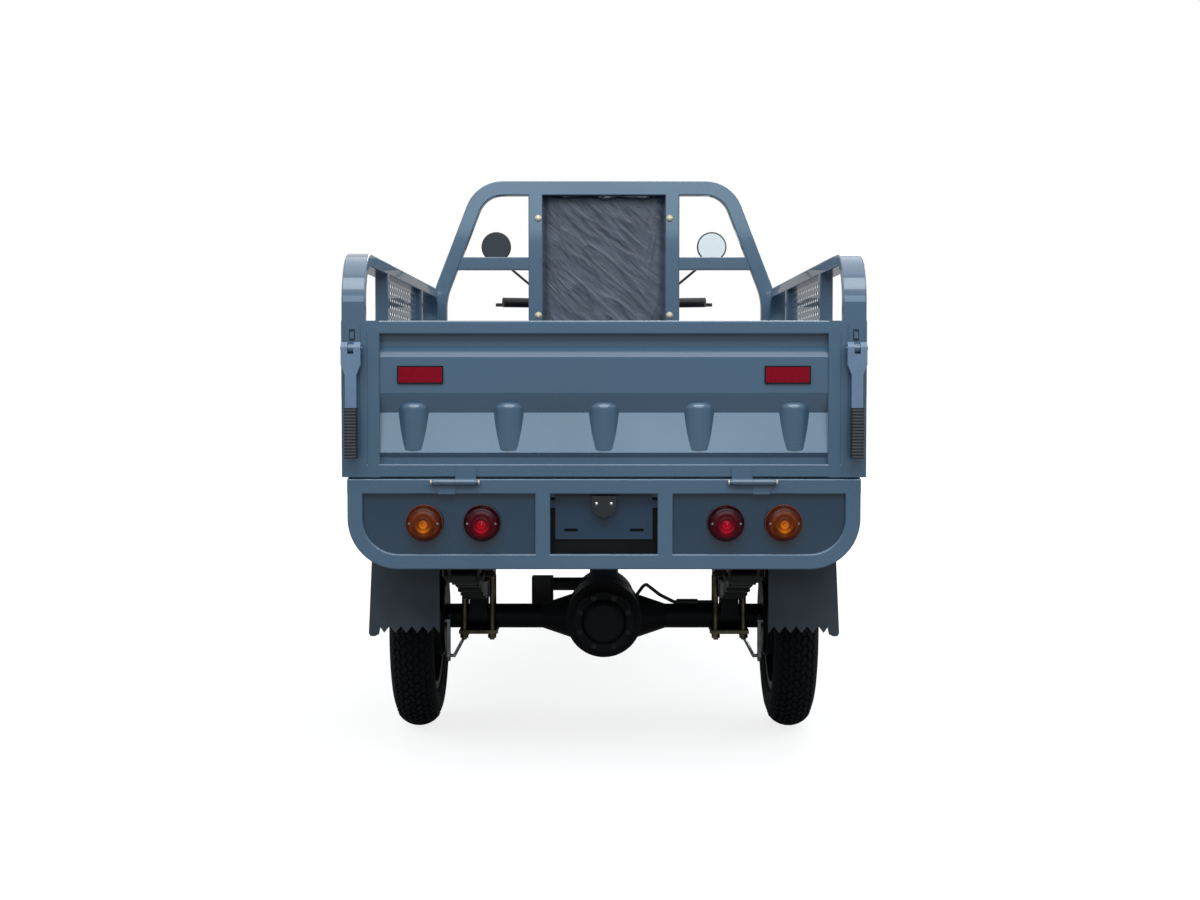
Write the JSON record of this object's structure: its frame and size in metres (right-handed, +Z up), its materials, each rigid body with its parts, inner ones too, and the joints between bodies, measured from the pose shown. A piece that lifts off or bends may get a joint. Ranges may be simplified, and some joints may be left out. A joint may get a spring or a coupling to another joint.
{
  "type": "cargo tricycle",
  "caption": "Open-bed electric cargo tricycle with a drop tailgate, slotted side guards, padded headboard, leaf-sprung motor axle and a telescopic steering fork.",
  "frame": {"origin": "on the ground below the middle of the bounding box", "axes": "+X to the rider's right, +Y forward, +Z up"},
  "size_m": [1.026, 2.906, 1.347],
  "materials": {
    "blue_paint": "gloss",
    "black_paint": "satin",
    "steel": "bare",
    "zinc": "zinc plated",
    "aluminium": "satin",
    "vinyl": "creased plastic over foam",
    "rubber": "matt",
    "tyre": "matt",
    "black_plastic": "matt",
    "amber": "clear moulding",
    "red": "clear moulding",
    "battery": "matt"
  },
  "bodies": {
    "chassis": {"chassis_frame": "blue_paint", "neck_frame": "blue_paint", "bed_floor": "blue_paint", "bed_side_left": "blue_paint", "bed_side_right": "blue_paint", "headboard_frame": "blue_paint", "side_guard_left": "blue_paint", "side_guard_right": "blue_paint", "backrest_pad": "vinyl", "backrest_bolts": "zinc", "rear_frame": "blue_paint", "lamp_lens_amber": "amber", "lamp_lens_red": "red", "lamp_housings": "black_plastic", "plate_holder": "blue_paint", "mud_flaps": "rubber", "spring_hangers": "black_paint", "leaf_springs": "black_paint", "battery_box": "blue_paint", "battery_pack": "battery", "foot_board": "blue_paint", "leg_shield": "blue_paint", "hinge_lower": "blue_paint"},
    "tailgate": {"tailgate_frame": "blue_paint", "tailgate_panel": "blue_paint", "reflectors": "red", "hinge_upper": "blue_paint", "latch_bases": "blue_paint"},
    "latch_lever_left": {"latch_lever_left": "blue_paint"},
    "latch_lever_right": {"latch_lever_right": "blue_paint"},
    "rear_axle": {"axle_housing": "black_paint", "diff_cover": "black_paint", "motor_case": "black_paint", "u_bolts": "zinc", "brake_plates": "black_paint", "range_shifter": "black_plastic", "axle_cables": "black_plastic"},
    "rear_wheel_left": {"rear_tyre_left": "tyre", "rear_wheel_left": "black_paint"},
    "rear_wheel_right": {"rear_tyre_right": "tyre", "rear_wheel_right": "black_paint"},
    "brake_arm_left": {"brake_arm_left": "steel"},
    "brake_arm_right": {"brake_arm_right": "steel"},
    "brake_rods": {"brake_rods": "steel"},
    "ring_gear": {"ring_gear": "steel"},
    "motor_rotor": {"motor_rotor": "steel"},
    "steering": {"fork_upper": "black_paint", "handlebar": "black_paint", "headlamp": "black_paint"},
    "throttle_grip": {"throttle_grip": "rubber"},
    "lever_left": {"lever_left": "black_plastic"},
    "lever_right": {"lever_right": "black_plastic"},
    "mirror_left": {"mirror_left": "black_plastic"},
    "mirror_right": {"mirror_right": "black_plastic"},
    "fork_lower": {"fork_sliders": "aluminium", "front_fender": "blue_paint"},
    "front_wheel": {"front_tyre": "tyre", "front_wheel": "black_paint"},
    "seat": {"seat_cushion": "vinyl"},
    "brake_pedal": {"brake_pedal": "steel"}
  },
  "joints": [
    {"name": "tailgate_hinge", "type": "hinge", "parent": "chassis", "child": "tailgate", "pos_m": [0, -1.422, 0.588], "axis": [1, 0, 0], "range_deg": [0, 145]},
    {"name": "rear_suspension", "type": "slide", "parent": "chassis", "child": "rear_axle", "axis": [0, 0, 1], "range_m": [-0.025, 0.045], "stiffness_N_per_m": 60000, "springref_m": -0.02752, "deforming": ["leaf_springs"]},
    {"name": "ring_gear_spin", "type": "hinge", "parent": "rear_axle", "child": "ring_gear", "pos_m": [0, -0.855, 0.248], "axis": [1, 0, 0], "continuous": true},
    {"name": "motor_spin", "type": "hinge", "parent": "rear_axle", "child": "motor_rotor", "pos_m": [0, -0.855, 0.248], "axis": [0, 1, 0], "continuous": true},
    {"name": "brake_rod_slide", "type": "slide", "parent": "rear_axle", "child": "brake_rods", "axis": [0, 1, 0], "range_m": [0, 0.0215]},
    {"name": "steering_turn", "type": "hinge", "parent": "chassis", "child": "steering", "pos_m": [0, 0.92898, 0.78189], "axis": [0, -0.4067, 0.9135], "range_deg": [-40, 40]},
    {"name": "fork_slide", "type": "slide", "parent": "steering", "child": "fork_lower", "axis": [0, -0.4067, 0.9135], "range_m": [-0.02, 0.06], "stiffness_N_per_m": 16000, "springref_m": -0.03036},
    {"name": "front_wheel_spin", "type": "hinge", "parent": "fork_lower", "child": "front_wheel", "pos_m": [0, 1.205, 0.248], "axis": [1, 0, 0], "continuous": true},
    {"name": "throttle_turn", "type": "hinge", "parent": "steering", "child": "throttle_grip", "pos_m": [0.322, 0.75011, 1.03105], "axis": [0.9554, -0.2953, 0], "range_deg": [0, 70], "stiffness_Nm_per_rad": 0.4, "springref_deg": -8.59},
    {"name": "seat_hinge", "type": "hinge", "parent": "chassis", "child": "seat", "pos_m": [0, 0.584, 0.744], "axis": [-1, 0, 0], "range_deg": [0, 62]},
    {"name": "pedal_pivot", "type": "hinge", "parent": "chassis", "child": "brake_pedal", "pos_m": [0.17, 0.765, 0.375], "axis": [-1, 0, 0], "range_deg": [0, 20], "stiffness_Nm_per_rad": 12, "springref_deg": -11.46},
    {"name": "latch_left", "type": "hinge", "parent": "tailgate", "child": "latch_lever_left", "pos_m": [-0.491, -1.43, 0.849], "axis": [-1, 0, 0], "range_deg": [0, 110]},
    {"name": "rear_wheel_spin_left", "type": "hinge", "parent": "rear_axle", "child": "rear_wheel_left", "pos_m": [-0.418, -0.855, 0.248], "axis": [1, 0, 0], "continuous": true},
    {"name": "brake_arm_turn_left", "type": "hinge", "parent": "rear_axle", "child": "brake_arm_left", "pos_m": [-0.349, -0.917, 0.245], "axis": [1, 0, 0], "range_deg": [0, 15.5]},
    {"name": "lever_pull_left", "type": "hinge", "parent": "steering", "child": "lever_left", "pos_m": [-0.2164, 0.81584, 1.02605], "axis": [0, 0, 1], "range_deg": [0, 14], "stiffness_Nm_per_rad": 2, "springref_deg": -5.73},
    {"name": "mirror_turn_left", "type": "hinge", "parent": "steering", "child": "mirror_left", "pos_m": [-0.344, 0.78305, 1.20805], "axis": [0, 0, 1], "range_deg": [-20, 20]},
    {"name": "latch_right", "type": "hinge", "parent": "tailgate", "child": "latch_lever_right", "pos_m": [0.491, -1.43, 0.849], "axis": [-1, 0, 0], "range_deg": [0, 110]},
    {"name": "rear_wheel_spin_right", "type": "hinge", "parent": "rear_axle", "child": "rear_wheel_right", "pos_m": [0.418, -0.855, 0.248], "axis": [1, 0, 0], "continuous": true},
    {"name": "brake_arm_turn_right", "type": "hinge", "parent": "rear_axle", "child": "brake_arm_right", "pos_m": [0.349, -0.917, 0.245], "axis": [1, 0, 0], "range_deg": [0, 15.5]},
    {"name": "lever_pull_right", "type": "hinge", "parent": "steering", "child": "lever_right", "pos_m": [0.2164, 0.81584, 1.02605], "axis": [0, 0, -1], "range_deg": [0, 14], "stiffness_Nm_per_rad": 2, "springref_deg": -5.73},
    {"name": "mirror_turn_right", "type": "hinge", "parent": "steering", "child": "mirror_right", "pos_m": [0.344, 0.78305, 1.20805], "axis": [0, 0, 1], "range_deg": [-20, 20]}
  ],
  "couplings": [
    {"joint": "motor_spin", "follows": "ring_gear_spin", "ratio": -4},
    {"joint": "brake_rod_slide", "follows": "pedal_pivot", "m_per_rad": 0.0606},
    {"joint": "brake_arm_turn_left", "follows": "pedal_pivot", "ratio": 0.75},
    {"joint": "brake_arm_turn_right", "follows": "pedal_pivot", "ratio": 0.75}
  ]
}
